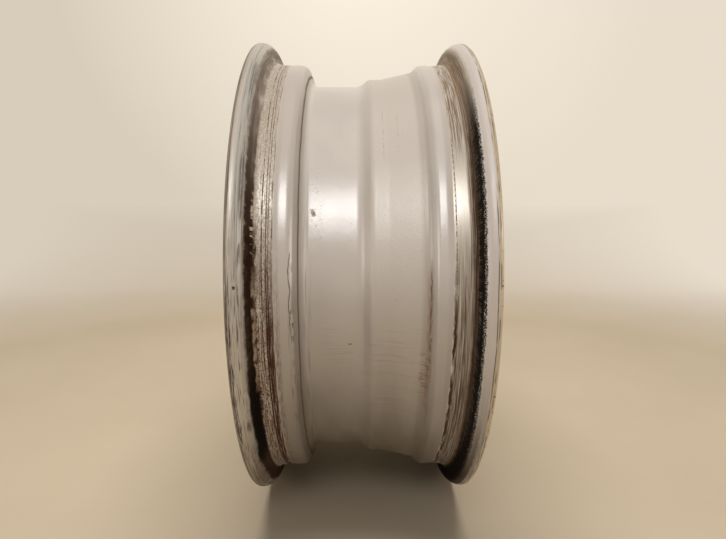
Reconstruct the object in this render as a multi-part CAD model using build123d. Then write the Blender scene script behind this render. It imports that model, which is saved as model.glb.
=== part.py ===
from build123d import *
from math import acos, ceil, cos, degrees, radians, sin, tan
import os

# Cast aluminium road wheel, 15 inch by 6 J with two safety humps, bare, in one piece.
#
# Frame: the wheel turns about Y. The origin lies on the axis, midway between the two
# bead flanges. -Y is the outer, styled side, +Y the car's side, and Z is up.
# Sizes are in millimetres and degrees. "Outer" means the styled side, "inner" the car's.

# Flanges and bead seats, the same on both sides
RIM_WIDTH = 152.4             # between the faces of the two flanges
BEAD_SEAT_DIAMETER = 380.2    # where seat and flange would meet in a sharp corner
FLANGE_HEIGHT = 17.3
FLANGE_WIDTH = 13.0
FLANGE_CURL_RADIUS = 9.5
FLANGE_TIP_RADIUS = 3.0
FLANGE_END_DEPTH = 8.6        # radial height of the flat end of a flange
SEAT_CORNER_RADIUS = 6.5
SEAT_ANGLE = 5.0
SEAT_WIDTH = 15.7             # flange face to the foot of the hump
HUMP_CREST = 21.5             # flange face to the crest of the hump
HUMP_DROP = 0.6               # crest below the bead seat's radius
HUMP_RADIUS = 7.0

# Drop centre. Axial distances from the outer flange's face, depths below the bead seat.
SHOULDER_DISTANCE = 28.9      # top of the steep outer wall
SHOULDER_DEPTH = 3.1
SHOULDER_RADIUS = 4.0
WELL_DISTANCE = 34.3          # foot of the steep outer wall
WELL_WIDTH = 40.1
WELL_DEPTH = 19.3
WELL_FILLET = 6.0
LEDGE_RUN = 8.8               # axial length of the rise from the well to the ledge
LEDGE_WIDTH = 10.5
LEDGE_DEPTH = 12.9
LEDGE_BLEND = 12.0

# Slope between the ledge and the inner hump, measured from the inner flange's face
SLOPE_DISTANCE = 30.6
SLOPE_DEPTH = 6.6
SLOPE_FILLET = 5.0
INNER_HUMP_WIDTH = 4.0        # flat top of the inner hump

# Barrel, brake side
BARREL_WALL = 6.5
BACK_MOUTH_DISTANCE = 5.2     # where it opens out, from the inner flange's face
BACK_MOUTH_WALL = 7.3
BACK_MOUTH_RADIUS = 12.0
SPOKE_ROOT_RADIUS = 8.0

# Styled face
LIP_STEP = 5.6                # end of the outer flange to the flat of the face
LIP_WIDTH = 14.4              # radial, from the outside of the flange to its foot
LIP_FILLET = 4.0

# Spokes and the windows between them
SPOKES = 5
FIRST_SPOKE_ANGLE = 90.0
SPOKE_WIDTH_AT_HUB = 50.0
SPOKE_WIDTH_AT_RIM = 37.0
SPOKE_DRAFT = 6.0
SPOKE_CROWN = 5.0             # radius of its front edges
WINDOW_RING = 13.0            # bead seat to the window's outer edge, at the face
WINDOW_INNER_CORNER = 11.0
WINDOW_OUTER_CORNER = 19.0

# Hollow in the back of each spoke
POCKET_WALL = 8.0
POCKET_SKIN = 10.0            # metal left in front of it
POCKET_START = 97.0
POCKET_END = 150.0
POCKET_CORNER = 7.0
POCKET_DRAFT = 6.0

# Hub
OFFSET = 47.0                 # rim's mid-plane to the mounting face
BORE_DIAMETER = 57.1
BORE_CHAMFER = 1.5
PAD_MARGIN = 19.0             # mounting face beyond the bolt circle
PAD_HEIGHT = 6.0              # mounting face beyond the backs of the spokes
PAD_SLOPE = 4.0
HUB_RIM = 9.0                 # flat between the dish and the windows
DISH_DEPTH = 7.5
DISH_SLOPE = 3.0
DISH_MARGIN = 2.5             # dish beyond the wells of the bolts
CAP_SEAT_DIAMETER = 65.0
CAP_SEAT_DEPTH = 8.0
CAP_RING_WALL = 6.0
CAP_RING_HEIGHT = 4.0

# Bolt holes
BOLTS = 5
BOLT_CIRCLE = 112.0
BOLT_HOLE = 15.0
BOLT_SEAT_DIAMETER = 24.0
BOLT_SEAT_ANGLE = 60.0
BOLT_WELL_DIAMETER = 27.0
BOLT_WEB = 13.0               # mounting face to the rim of the bolt's seat

# Shallow hollows in the mounting face, between the bolt holes
RELIEF_DEPTH = 7.0
RELIEF_WIDTH = 30.0
RELIEF_MARGIN = 10.0          # mounting face left outside and inside them
RELIEF_CORNER = 6.0

# Valve hole, through the steep wall of the drop centre
VALVE_HOLE = 11.3
VALVE_ANGLE = 198.0
VALVE_TILT = 25.0
VALVE_SEAT_DIAMETER = 20.0
VALVE_WALL = 5.0

ARC_SAG = 0.65                # how far a chord of a rounded corner may lie off its arc

# Places that follow from the sizes above
FACE_Y = RIM_WIDTH / 2
END_Y = FACE_Y + FLANGE_WIDTH
SEAT_R = BEAD_SEAT_DIAMETER / 2
FLANGE_R = SEAT_R + FLANGE_HEIGHT
END_FACE_R = FLANGE_R - FLANGE_END_DEPTH
HUMP_FOOT_Y = FACE_Y - SEAT_WIDTH
HUMP_FOOT_R = SEAT_R - SEAT_WIDTH * tan(radians(SEAT_ANGLE))
HUMP_Y = FACE_Y - HUMP_CREST
HUMP_R = SEAT_R - HUMP_DROP
SHOULDER_Y = SHOULDER_DISTANCE - FACE_Y
SHOULDER_R = SEAT_R - SHOULDER_DEPTH
WELL_Y = WELL_DISTANCE - FACE_Y
WELL_END_Y = WELL_Y + WELL_WIDTH
WELL_R = SEAT_R - WELL_DEPTH
LEDGE_Y = WELL_END_Y + LEDGE_RUN
LEDGE_R = SEAT_R - LEDGE_DEPTH
SLOPE_Y = FACE_Y - SLOPE_DISTANCE
SLOPE_R = SEAT_R - SLOPE_DEPTH
BARREL_R = WELL_R - BARREL_WALL
STYLED_Y = LIP_STEP - END_Y
LIP_FOOT_R = FLANGE_R - LIP_WIDTH
WINDOW_OUTER_R = SEAT_R - WINDOW_RING
BOLT_R = BOLT_CIRCLE / 2
PAD_Y = -OFFSET
PAD_R = BOLT_R + PAD_MARGIN
SPOKE_BACK_Y = PAD_Y - PAD_HEIGHT
BORE_R = BORE_DIAMETER / 2
CAP_SEAT_R = CAP_SEAT_DIAMETER / 2
CAP_RING_Y = STYLED_Y + DISH_DEPTH - CAP_RING_HEIGHT
CAP_RING_R = CAP_SEAT_R + CAP_RING_WALL
DISH_Y = STYLED_Y + DISH_DEPTH
DISH_R = BOLT_R + BOLT_WELL_DIAMETER / 2 + DISH_MARGIN
HUB_R = DISH_R + HUB_RIM


def rim_contour():
    """Tyre side of the rim, from the outer flange's end to the inner one's: (y, r, fillet)."""
    return [
        (-END_Y, END_FACE_R, FLANGE_TIP_RADIUS),
        (-END_Y, FLANGE_R, FLANGE_TIP_RADIUS),
        (-FACE_Y, FLANGE_R, FLANGE_CURL_RADIUS),
        (-FACE_Y, SEAT_R, SEAT_CORNER_RADIUS),
        (-HUMP_FOOT_Y, HUMP_FOOT_R, 0),
        (-HUMP_Y, HUMP_R, HUMP_RADIUS),
        (SHOULDER_Y, SHOULDER_R, SHOULDER_RADIUS),
        (WELL_Y, WELL_R, WELL_FILLET),
        (WELL_END_Y, WELL_R, LEDGE_BLEND),
        (LEDGE_Y, LEDGE_R, 0),
        (LEDGE_Y + LEDGE_WIDTH, LEDGE_R, 0),
        (SLOPE_Y, SLOPE_R, SLOPE_FILLET),
        (HUMP_Y - INNER_HUMP_WIDTH, HUMP_R, SLOPE_FILLET),
        (HUMP_Y + INNER_HUMP_WIDTH / 2, HUMP_R, 0),
        (HUMP_FOOT_Y, HUMP_FOOT_R, 0),
        (FACE_Y, SEAT_R, SEAT_CORNER_RADIUS),
        (FACE_Y, FLANGE_R, FLANGE_CURL_RADIUS),
        (END_Y, FLANGE_R, FLANGE_TIP_RADIUS),
        (END_Y, END_FACE_R, FLANGE_TIP_RADIUS),
    ]


def barrel_inside():
    """Brake side of the barrel, from the inner flange back to the spokes: (y, r, fillet)."""
    return [
        (FACE_Y - BACK_MOUTH_DISTANCE, SEAT_R - BACK_MOUTH_WALL, BACK_MOUTH_RADIUS),
        (LEDGE_Y + BARREL_WALL, LEDGE_R - BARREL_WALL, 0),
        (WELL_END_Y, BARREL_R, 0),
        (SPOKE_BACK_Y, BARREL_R, SPOKE_ROOT_RADIUS),
    ]


def hub_section():
    """Back, bore and front of the hub, and the face out to the lip: (y, r, fillet)."""
    return [
        (SPOKE_BACK_Y, PAD_R + PAD_SLOPE, 0),
        (PAD_Y, PAD_R, 0),
        (PAD_Y, BORE_R + BORE_CHAMFER, 0),
        (PAD_Y - BORE_CHAMFER, BORE_R, 0),
        (CAP_RING_Y + CAP_SEAT_DEPTH, BORE_R, 0),
        (CAP_RING_Y + CAP_SEAT_DEPTH, CAP_SEAT_R, 0),
        (CAP_RING_Y, CAP_SEAT_R, 0),
        (CAP_RING_Y, CAP_RING_R, 0),
        (DISH_Y, CAP_RING_R, 0),
        (DISH_Y, DISH_R - DISH_SLOPE, 0),
        (STYLED_Y, DISH_R, 0),
        (STYLED_Y, LIP_FOOT_R, LIP_FILLET),
    ]


def rounded(corners):
    """Points of an outline (y, r, fillet), each fillet's arc given by a few chords."""
    points = []
    for k, (y, r, radius) in enumerate(corners):
        corner = Vector(y, r)
        if not radius:
            points.append(corner)
            continue
        before = (Vector(*corners[k - 1][:2]) - corner).normalized()
        after = (Vector(*corners[(k + 1) % len(corners)][:2]) - corner).normalized()
        turn = radians(180 - before.get_angle(after))
        centre = corner + (before + after).normalized() * (radius / cos(turn / 2))
        start = corner + before * (radius * tan(turn / 2)) - centre
        chords = ceil(turn / (2 * acos(1 - ARC_SAG / radius)))
        side = 1 if before.cross(after).Z < 0 else -1
        for step in range(chords + 1):
            points.append(centre + start.rotate(Axis.Z, degrees(side * turn * step / chords)))
    return points


def casting_blank():
    """The wheel before its windows and holes: one outline turned about Y."""
    points = rounded(rim_contour() + barrel_inside() + hub_section())
    outline = Polyline(*[(-p.Y, p.X) for p in points], close=True)
    return revolve(make_face(outline), axis=Axis.Y)


def spoke_half_width(r, y, margin=0.0):
    """Half the width of a spoke at the radius r and the axial place y."""
    share = (r - HUB_R) / (WINDOW_OUTER_R - HUB_R)
    width = SPOKE_WIDTH_AT_HUB + share * (SPOKE_WIDTH_AT_RIM - SPOKE_WIDTH_AT_HUB)
    return width / 2 + (y - STYLED_Y) * tan(radians(SPOKE_DRAFT)) - margin


def window_section(y, outer_r, margin=0.0):
    """Outline of the window centred on +X, in the plane at y, grown by the margin."""
    lean = radians(180 / SPOKES)
    flank = []
    for r in (BOLT_R, 2 * FLANGE_R):
        half = spoke_half_width(r, y, margin)
        flank.append((r * cos(lean) + half * sin(lean), r * sin(lean) - half * cos(lean)))
    (near_x, near_y), (far_x, far_y) = flank
    wedge = Polyline((near_x, near_y), (far_x, far_y), (far_x, -far_y), (near_x, -near_y), close=True)
    hub = Circle(HUB_R + (y - STYLED_Y) * tan(radians(SPOKE_DRAFT)) - margin)
    section = make_face(wedge) & (Circle(outer_r + margin) - hub)
    section = fillet(section.vertices().group_by(Axis.X)[0], WINDOW_INNER_CORNER + margin)
    for side in (0, -1):
        corner = section.vertices().sort_by(Axis.Y)[side]
        section = fillet(corner, WINDOW_OUTER_CORNER + margin)
    return Plane.XZ.offset(-y) * section


def window_tool():
    """The space of the window on +X, with its crowned front edge and drafted walls."""
    past_y = WELL_Y + BARREL_WALL
    slope = (WINDOW_OUTER_R - BARREL_R) / (WELL_Y - STYLED_Y)
    sections = [window_section(STYLED_Y - LIP_STEP, WINDOW_OUTER_R, SPOKE_CROWN)]
    for turn in (0, 45, 90):
        drop = SPOKE_CROWN * (1 - cos(radians(turn)))
        margin = SPOKE_CROWN * (1 - sin(radians(turn)))
        y = STYLED_Y + drop
        sections.append(window_section(y, WINDOW_OUTER_R - drop * slope, margin))
    sections.append(window_section(past_y, BARREL_R - BARREL_WALL * slope))
    return loft(sections, ruled=True)


def pocket_tool():
    """The hollow in the back of the spoke on +X."""
    (start, start_half), (end, end_half) = [
        (r, spoke_half_width(r, SPOKE_BACK_Y) - POCKET_WALL) for r in (POCKET_START, POCKET_END)
    ]
    mouth = Polyline((start, start_half), (end, end_half), (end, -end_half), (start, -start_half), close=True)
    mouth = fillet(make_face(mouth).vertices(), POCKET_CORNER)
    depth = SPOKE_BACK_Y - STYLED_Y - POCKET_SKIN
    return extrude(Plane.XZ.offset(-SPOKE_BACK_Y) * mouth, amount=depth, taper=POCKET_DRAFT)


def bolt_tool():
    """Well, cone seat and hole of the bolt on +X."""
    seat_y = PAD_Y - BOLT_WEB
    cone = (BOLT_SEAT_DIAMETER - BOLT_HOLE) / 2 / tan(radians(BOLT_SEAT_ANGLE / 2))
    outline = Polyline(
        (0, -END_Y),
        (BOLT_WELL_DIAMETER / 2, -END_Y),
        (BOLT_WELL_DIAMETER / 2, seat_y),
        (BOLT_SEAT_DIAMETER / 2, seat_y),
        (BOLT_HOLE / 2, seat_y + cone),
        (BOLT_HOLE / 2, PAD_Y + BOLT_WEB),
        (0, PAD_Y + BOLT_WEB),
        close=True,
    )
    return Pos(BOLT_R, 0, 0) * revolve(make_face(outline), axis=Axis.Y)


def relief_tool():
    """The hollow in the mounting face on +X."""
    inner = BORE_R + RELIEF_MARGIN
    outer = PAD_R - RELIEF_MARGIN
    mouth = Pos((inner + outer) / 2, 0) * RectangleRounded(outer - inner, RELIEF_WIDTH, RELIEF_CORNER)
    return extrude(Plane.XZ.offset(-PAD_Y) * mouth, amount=RELIEF_DEPTH, taper=POCKET_DRAFT)


def valve_tool():
    """The valve's hole on +X, with a round seat on its outer side."""
    tilt = radians(VALVE_TILT)
    wall = Plane(
        origin=((WELL_R + SHOULDER_R) / 2, (WELL_Y + SHOULDER_Y) / 2, 0),
        z_dir=(-sin(tilt), -cos(tilt), 0),
    )
    hole = Cylinder(VALVE_HOLE / 2, FLANGE_HEIGHT * 2)
    from_seat = (Align.CENTER, Align.CENTER, Align.MIN)
    seat = Pos(0, 0, VALVE_WALL) * Cylinder(VALVE_SEAT_DIAMETER / 2, FLANGE_HEIGHT * 2, align=from_seat)
    return wall * (hole + seat)


def around(tool, count, first_angle):
    """Copies of a tool made on +X, evenly spaced about the wheel's axis."""
    return [tool.rotate(Axis.Y, -(first_angle + k * 360 / count)) for k in range(count)]


def wheel_rim():
    """The finished wheel."""
    between = 180 / SPOKES
    wheel = casting_blank()
    wheel -= around(window_tool(), SPOKES, FIRST_SPOKE_ANGLE + between)
    wheel -= around(pocket_tool(), SPOKES, FIRST_SPOKE_ANGLE)
    wheel -= around(bolt_tool(), BOLTS, FIRST_SPOKE_ANGLE)
    wheel -= around(relief_tool(), BOLTS, FIRST_SPOKE_ANGLE + 180 / BOLTS)
    wheel -= valve_tool().rotate(Axis.Y, -VALVE_ANGLE)
    return wheel


if __name__ == "__main__":
    os.makedirs("parts", exist_ok=True)
    wheel = wheel_rim()
    print("volume", wheel.volume, "valid", wheel.is_valid, "faces", len(wheel.faces()))
    export_step(wheel, "parts/wheel_rim.step")
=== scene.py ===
"""Looks of a bare cast aluminium car wheel without its tyre, seen from the tyre's side.

The wheel is one casting, so it is one mesh: an outline turned about Y, with the windows, the
hollows and the holes cut out of it. Lengths are in millimetres in the dataclasses below, where
nothing else is said, and in metres in the meshes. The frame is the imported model's: Y is the
wheel's axis, -Y the styled side. A field with past in its name says how far a cutter runs past
the surface that it opens.
"""

import logging
from dataclasses import dataclass, field
from enum import Enum
from math import atan2, ceil, cos, degrees, hypot, pi, radians, sin, sqrt, tan
from random import Random

import bmesh
import bpy
from bmesh.types import BMesh
from bpy.types import Material, Node, NodeSocket, NodeTree, Object
from mathutils import Matrix, Vector


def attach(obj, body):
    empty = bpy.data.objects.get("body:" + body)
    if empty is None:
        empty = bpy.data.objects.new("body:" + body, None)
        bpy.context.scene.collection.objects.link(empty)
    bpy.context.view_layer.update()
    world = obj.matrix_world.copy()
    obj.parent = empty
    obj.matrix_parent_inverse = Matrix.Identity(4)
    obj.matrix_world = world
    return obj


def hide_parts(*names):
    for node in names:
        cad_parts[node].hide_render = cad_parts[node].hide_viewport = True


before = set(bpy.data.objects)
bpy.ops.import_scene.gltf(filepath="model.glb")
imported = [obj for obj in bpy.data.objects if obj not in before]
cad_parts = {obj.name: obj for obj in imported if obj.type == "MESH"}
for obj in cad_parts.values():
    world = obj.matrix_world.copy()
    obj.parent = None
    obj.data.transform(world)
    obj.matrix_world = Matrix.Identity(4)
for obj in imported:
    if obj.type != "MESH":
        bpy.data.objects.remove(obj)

LOG = logging.getLogger("wheel")
MM = 0.001
# Radius at which the size of a pattern around the wheel holds, and an axial place past its ends
MEAN_R = 190.0
PAST_ENDS = 200.0
# How far a seed moves a pattern, along each of its axes
SEED_STEP = (3.7, 7.31, 1.9)
# Where nearly all values of a pattern lie, and the size and seed of the sway of the edges of marks
NOISE_SPAN = (0.3, 0.7)
SWAY_MM = 60.0
SWAY_SEED = 5.0
# Radius in mm below which a point of a turned outline lies on the axis
ON_AXIS = 1e-6
# Smallest corner radius left where an outline is moved inwards
LEAST_CORNER = 0.4
# Tone of the far backdrop and of the sky
SKY_TONE = "DFD3C3"

Pair = tuple[float, float]
Point = tuple[float, float]
Corner = tuple[float, float, float]
Section = tuple[float, list[Point]]
Value = float | int | tuple | NodeSocket
Inputs = dict[str | int, Value]

MATH = "ShaderNodeMath"
VECTOR = "ShaderNodeVectorMath"
RANGE = "ShaderNodeMapRange"
NOISE = "ShaderNodeTexNoise"
MIX = "ShaderNodeMix"


@dataclass(frozen=True)
class LatheLines:
    """Fine rings of a lathe tool on the tyre's side, between two axial places, in mm.

    Each ring has a depth of its own, from the shallowest share of depth upwards. Only what lies
    farther out than least_r has them. A real tool moves on by about 0.3 mm at each turn, which is
    too fine to show, so the pitch is some three times that.
    """

    first: float
    last: float
    pitch: float = 0.9
    depth: float = 0.05
    shallowest: float = 0.2
    least_r: float = 183.0
    seed: int = 1


# Mesh making


def rounded(corners: list[Corner], turn_step: float = 8.0) -> list[Point]:
    """Turns an outline's corners into points, each fillet as an arc.

    Args:
        corners: the outline as (axial place, radius, fillet radius), closed.
        turn_step: largest turn between two points of an arc, in degrees.

    Returns:
        The outline's points as (axial place, radius).
    """
    points: list[Point] = []
    for k, (y, r, radius) in enumerate(corners):
        corner = Vector((y, r))
        if not radius:
            points.append((y, r))
            continue
        before = (Vector(corners[k - 1][:2]) - corner).normalized()
        after = (Vector(corners[(k + 1) % len(corners)][:2]) - corner).normalized()
        turn = pi - before.angle(after)
        centre = corner + (before + after).normalized() * (radius / cos(turn / 2))
        start = corner + before * (radius * tan(turn / 2)) - centre
        side = 1 if before.x * after.y - before.y * after.x < 0 else -1
        steps = max(2, ceil(degrees(turn) / turn_step))
        for step in range(steps + 1):
            spoke = Matrix.Rotation(side * turn * step / steps, 2) @ start
            points.append((centre.x + spoke.x, centre.y + spoke.y))
    return points


def divided(points: list[Point], longest: float) -> list[Point]:
    """Adds points on the long straight runs of a closed outline.

    Args:
        points: the outline.
        longest: longest run left, in millimetres.

    Returns:
        The outline with its long runs divided evenly.
    """
    finer: list[Point] = []
    for k, (y, r) in enumerate(points):
        next_y, next_r = points[(k + 1) % len(points)]
        parts = max(1, ceil(hypot(next_y - y, next_r - r) / longest))
        finer += [(y + (next_y - y) * p / parts, r + (next_r - r) * p / parts) for p in range(parts)]
    return finer


def scored(points: list[Point], line: LatheLines) -> list[Point]:
    """Cuts the fine rings that a lathe tool leaves into part of an outline.

    Args:
        points: the outline, running from -Y to +Y on the tyre's side.
        line: where the rings are and how deep.

    Returns:
        The outline with the rings' points put in.
    """
    chance = Random(line.seed)
    made: list[Point] = []
    for (y, r), (next_y, next_r) in zip(points, points[1:] + points[:1]):
        made.append((y, r))
        if min(y, next_y) < line.first or max(y, next_y) > line.last or min(r, next_r) < line.least_r:
            continue
        run = hypot(next_y - y, next_r - r)
        steps = round(2 * run / line.pitch)
        for k in range(1, steps):
            depth = line.depth * chance.uniform(line.shallowest, 1.0) * (k % 2) / max(run, line.pitch)
            part = k / steps
            made.append((
                y + (next_y - y) * part + (next_r - r) * depth,
                r + (next_r - r) * part - (next_y - y) * depth,
            ))
    return made


def turned(points: list[Point], segments: int, closed: bool = True) -> BMesh:
    """Turns an outline about Y.

    Args:
        points: (axial place, radius) in millimetres, a closed ring, or a run that starts and
            ends on the axis.
        segments: how many copies of the outline go round.
        closed: whether the outline is a closed ring away from the axis.

    Returns:
        A closed mesh in metres.
    """
    mesh = bmesh.new()
    rings = []
    for y, r in points:
        if r < ON_AXIS:
            rings.append([mesh.verts.new((0, y * MM, 0))] * segments)
            continue
        angles = [2 * pi * s / segments for s in range(segments)]
        rings.append([mesh.verts.new((r * cos(a) * MM, y * MM, r * sin(a) * MM)) for a in angles])
    pairs = zip(rings, rings[1:] + rings[:1]) if closed else zip(rings, rings[1:])
    for low, high in pairs:
        for s in range(segments):
            t = (s + 1) % segments
            face = list(dict.fromkeys((low[s], low[t], high[t], high[s])))
            mesh.faces.new(face)
    bmesh.ops.recalc_face_normals(mesh, faces=mesh.faces)
    return mesh


def lofted(sections: list[Section]) -> BMesh:
    """Joins outlines that lie across Y, with a cap at each end.

    Args:
        sections: (axial place, outline as (x, z)) in millimetres, all with as many points.

    Returns:
        A closed mesh in metres.
    """
    mesh = bmesh.new()
    rings = [[mesh.verts.new((x * MM, y * MM, z * MM)) for x, z in outline] for y, outline in sections]
    for low, high in zip(rings, rings[1:]):
        for s in range(len(low)):
            t = (s + 1) % len(low)
            mesh.faces.new((low[s], low[t], high[t], high[s]))
    mesh.faces.new(rings[0])
    mesh.faces.new(rings[-1])
    bmesh.ops.recalc_face_normals(mesh, faces=mesh.faces)
    return mesh


def arc(centre: Point, radius: float, start: float, end: float, steps: int) -> list[Point]:
    """Points on an arc, its first one left out.

    Args:
        centre: centre of the arc.
        radius: its radius.
        start: first angle, in radians.
        end: last angle, in radians.
        steps: number of points.

    Returns:
        The points after the first one.
    """
    turns = [start + (end - start) * (s + 1) / steps for s in range(steps)]
    return [(centre[0] + radius * cos(a), centre[1] + radius * sin(a)) for a in turns]


def rounded_box(corners: list[Point], radius: float, inset: float, steps: int = 5) -> list[Point]:
    """A convex outline moved inwards, with round corners.

    Args:
        corners: the outline's corners, anticlockwise.
        radius: corner radius before the move.
        inset: how far it moves in; less than nothing grows it.
        steps: points of each corner's arc.

    Returns:
        The points of the outline.
    """
    points: list[Point] = []
    radius = max(radius - inset, LEAST_CORNER)
    count = len(corners)
    for k, corner in enumerate(corners):
        here = Vector(corner)
        before = (Vector(corners[k - 1]) - here).normalized()
        after = (Vector(corners[(k + 1) % count]) - here).normalized()
        half = before.angle(after) / 2
        centre = here + (before + after).normalized() * ((inset + radius) / sin(half))
        out_before = Vector((-before.y, before.x))
        first = atan2(out_before.y, out_before.x)
        sweep = pi - 2 * half
        points.append((centre.x + radius * cos(first), centre.y + radius * sin(first)))
        points += arc((centre.x, centre.y), radius, first, first + sweep, steps)
    return points


def quarter(steps: int) -> list[Point]:
    """Follows a quarter of a circle of radius 1 round an edge.

    Args:
        steps: how many steps it takes.

    Returns:
        For each place, how far it has come along one way and how far it has to go on the other.
    """
    turns = [radians(90 * step / steps) for step in range(steps + 1)]
    return [(1 - cos(turn), 1 - sin(turn)) for turn in turns]


def hollow_floor(
    corners: list[Point], radius: float, ends: Pair, foot: float, draft: float, steps: int
) -> list[Section]:
    """Sections of the deep end of a drafted hollow, with a round foot.

    Args:
        corners: the hollow's corners at its mouth.
        radius: corner radius at its mouth.
        ends: axial places of its mouth and its floor.
        foot: fillet between its walls and its floor.
        draft: lean of its walls, in degrees.
        steps: steps of the fillet.

    Returns:
        The sections, from the fillet's start to the floor.
    """
    depth = ends[0] - ends[1]
    sections: list[Section] = []
    for gone, left in quarter(steps):
        inset = (depth - foot) * tan(radians(draft)) + foot * gone
        sections.append((ends[0] - depth + foot * left, rounded_box(corners, radius, inset)))
    return sections


def around(mesh: BMesh, count: int, first_angle: float) -> list[BMesh]:
    """Copies a cutter made on +X, evenly spaced about the wheel's axis.

    Args:
        mesh: the cutter.
        count: how many copies.
        first_angle: where the first one goes, in degrees from +X towards +Z.

    Returns:
        The copies.
    """
    turns = [radians(first_angle + 360 * k / count) for k in range(count)]
    copies = [mesh.copy() for _ in turns]
    for copy, turn in zip(copies, turns):
        copy.transform(Matrix.Rotation(-turn, 4, "Y"))
    return copies


def to_object(name: str, meshes: list[BMesh]) -> Object:
    """Puts meshes into one new object of the scene.

    Args:
        name: the object's name.
        meshes: the parts, which are freed.

    Returns:
        The new object.
    """
    whole = bmesh.new()
    for part in meshes:
        data = bpy.data.meshes.new(name)
        part.to_mesh(data)
        part.free()
        whole.from_mesh(data)
        bpy.data.meshes.remove(data)
    data = bpy.data.meshes.new(name)
    whole.to_mesh(data)
    whole.free()
    made = bpy.data.objects.new(name, data)
    bpy.context.scene.collection.objects.link(made)
    return made


def cut(body: Object, cutters: list[BMesh]) -> None:
    """Takes cutters out of a body, for good.

    Args:
        body: what is cut.
        cutters: closed meshes that don't touch each other, which are freed.
    """
    tool = to_object("cutter", cutters)
    modifier = body.modifiers.new("cut", "BOOLEAN")
    modifier.operation = "DIFFERENCE"
    modifier.solver = "EXACT"
    modifier.object = tool
    graph = bpy.context.evaluated_depsgraph_get()
    result = bpy.data.meshes.new_from_object(body.evaluated_get(graph))
    body.modifiers.remove(modifier)
    old = body.data
    body.data = result
    bpy.data.meshes.remove(old)
    spent = tool.data
    bpy.data.objects.remove(tool)
    bpy.data.meshes.remove(spent)


# The wheel's own forms


class Side(Enum):
    """The wheel's two sides. The value is the sign of Y there."""

    OUTER = -1
    INNER = 1


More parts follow.
